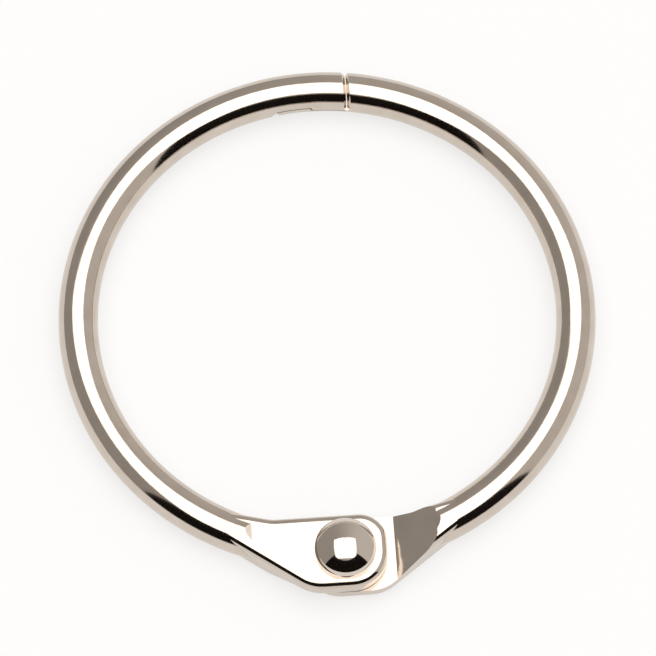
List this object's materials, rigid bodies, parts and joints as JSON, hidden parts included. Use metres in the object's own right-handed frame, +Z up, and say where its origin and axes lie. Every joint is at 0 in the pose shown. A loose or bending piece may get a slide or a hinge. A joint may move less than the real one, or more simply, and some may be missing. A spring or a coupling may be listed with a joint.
{
  "type": "binder ring",
  "caption": "Hinged snap-shut ring of round wire that holds punched sheets, with a domed rivet at the hinge and a hooked lap clasp opposite.",
  "frame": {"origin": "centre of the closed ring, half way up the wire", "axes": "+Z up along the ring's axis towards the rivet's domed head, hinge at -Y, clasp at +Y, opening half at +X"},
  "size_m": [0.0298, 0.0312, 0.0035],
  "materials": {
    "nickel_wire": "nickel-plated steel wire, bright",
    "nickel_rivet": "nickel-plated steel rivet, polished"
  },
  "bodies": {
    "left_half": {"left_half_ring": "nickel_wire", "hinge_rivet": "nickel_rivet"},
    "right_half": {"right_half_ring": "nickel_wire"}
  },
  "joints": [
    {"name": "ring_open", "type": "hinge", "parent": "left_half", "child": "right_half", "pos_m": [0, -0.0142, 0], "axis": [0, 0, -1], "range_deg": [0, 120]}
  ]
}
